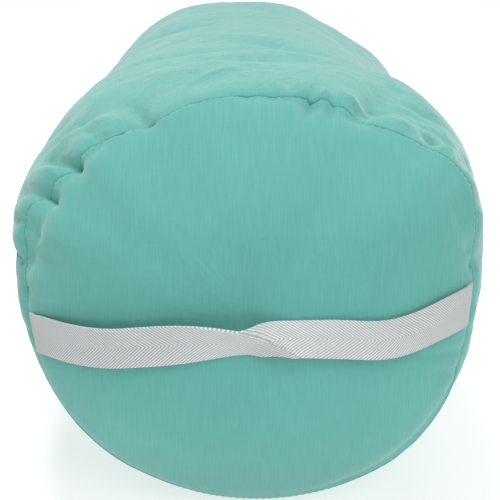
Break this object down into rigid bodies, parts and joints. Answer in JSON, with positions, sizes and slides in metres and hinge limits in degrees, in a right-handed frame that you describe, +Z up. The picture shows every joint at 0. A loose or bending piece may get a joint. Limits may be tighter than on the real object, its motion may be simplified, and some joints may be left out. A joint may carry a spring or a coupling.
{
  "type": "round bolster pillow",
  "caption": "Round cotton massage and yoga bolster, batting filled, with a webbing carry handle across one crowned end and a zipped cover.",
  "frame": {"origin": "centre of the flat patch that the lying bolster rests on, under the middle of its length", "axes": "+Y along the bolster, away from the end with the handle; +Z up; +X to the right when facing the handle end"},
  "size_m": [0.2567, 0.6798, 0.2265],
  "materials": {
    "cover_cotton": "matte",
    "cover_thread": "matte",
    "white_webbing": "matte",
    "zip_tape": "matte",
    "zip_coil": "satin",
    "zip_metal": "satin",
    "liner_cotton": "matte",
    "batting": "matte"
  },
  "bodies": {
    "bolster": {"barrel_panel": "cover_cotton", "front_end_panel": "cover_cotton", "rear_end_panel": "cover_cotton", "front_seam_thread": "cover_thread", "rear_seam_thread": "cover_thread", "barrel_closing_thread_front": "cover_thread", "barrel_closing_thread_rear": "cover_thread", "handle_end_left": "white_webbing", "handle_end_right": "white_webbing", "zip_tape_lower": "zip_tape", "zip_tape_upper": "zip_tape", "zip_coil_lower": "zip_coil", "zip_coil_upper": "zip_coil", "zip_stitch_lower": "cover_thread", "zip_stitch_upper": "cover_thread", "zip_stop_front": "zip_metal", "zip_stop_rear": "zip_metal", "liner_barrel": "liner_cotton", "liner_front_disc": "liner_cotton", "liner_rear_disc": "liner_cotton", "liner_front_thread": "liner_cotton", "liner_rear_thread": "liner_cotton", "batting_wrap": "batting", "batting_core": "batting"},
    "handle": {"handle_strap": "white_webbing"},
    "zip_slider_body": {"zip_slider": "zip_metal"},
    "zip_pull_body": {"zip_pull": "zip_metal"}
  },
  "joints": [
    {"name": "handle_swing", "type": "hinge", "parent": "bolster", "child": "handle", "pos_m": [0, -0.29, 0.1], "axis": [-0.9982, 0, -0.0599], "range_deg": [-22, 15]},
    {"name": "zip_slide", "type": "slide", "parent": "bolster", "child": "zip_slider_body", "axis": [0, 1, 0], "range_m": [0, 0.363]},
    {"name": "zip_pull_swing", "type": "hinge", "parent": "zip_slider_body", "child": "zip_pull_body", "pos_m": [-0.12738, -0.1817, 0.13255], "axis": [-0.206, 0, -0.9785], "range_deg": [0, 165]}
  ]
}
